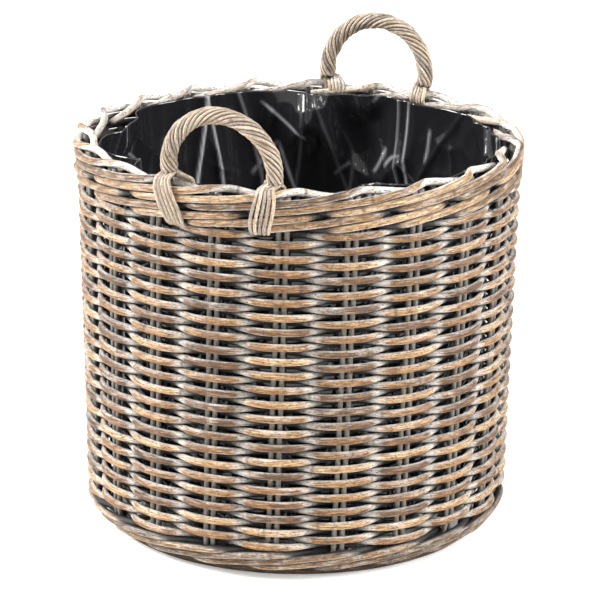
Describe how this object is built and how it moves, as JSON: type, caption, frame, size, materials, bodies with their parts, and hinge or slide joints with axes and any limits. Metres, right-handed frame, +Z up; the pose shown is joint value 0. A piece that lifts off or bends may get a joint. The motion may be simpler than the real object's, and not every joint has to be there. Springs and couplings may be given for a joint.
{
  "type": "log basket",
  "caption": "Round woven rattan log basket with slightly flaring wall, rolled rim and foot borders, two rope-twisted loop handles and a loose polythene liner.",
  "frame": {"origin": "on the floor, at the middle of the foot", "axes": "+Z up out of the basket's mouth; the two handles stand at -Y (front) and +Y (back)"},
  "size_m": [0.4894, 0.495, 0.5206],
  "materials": {
    "rattan": "unpeeled rattan cane with a thin grey-white wash, satin",
    "thick_rattan": "thick rattan cane, darker, matt",
    "strand_rattan": "thin split rattan, satin",
    "polythene": "glossy black film, creased"
  },
  "bodies": {
    "root": {"foot_hoop": "thick_rattan", "foot_border": "rattan", "base_sticks_lower": "thick_rattan", "base_sticks_upper": "thick_rattan", "base_binding": "rattan", "base_weave": "rattan", "stakes": "rattan", "weave_round_01": "rattan", "weave_round_02": "rattan", "weave_round_03": "rattan", "weave_round_04": "rattan", "weave_round_05": "rattan", "weave_round_06": "rattan", "weave_round_07": "rattan", "weave_round_08": "rattan", "weave_round_09": "rattan", "weave_round_10": "rattan", "weave_round_11": "rattan", "weave_round_12": "rattan", "weave_round_13": "rattan", "weave_round_14": "rattan", "weave_round_15": "rattan", "weave_round_16": "rattan", "weave_round_17": "rattan", "weave_round_18": "rattan", "weave_round_19": "rattan", "weave_round_20": "rattan", "weave_round_21": "rattan", "weave_round_22": "rattan", "rim_border": "rattan", "liner": "polythene", "front_handle_rod": "thick_rattan", "front_handle_outer_strands": "strand_rattan", "front_handle_inner_strands": "strand_rattan", "back_handle_rod": "thick_rattan", "back_handle_outer_strands": "strand_rattan", "back_handle_inner_strands": "strand_rattan"}
  },
  "joints": []
}
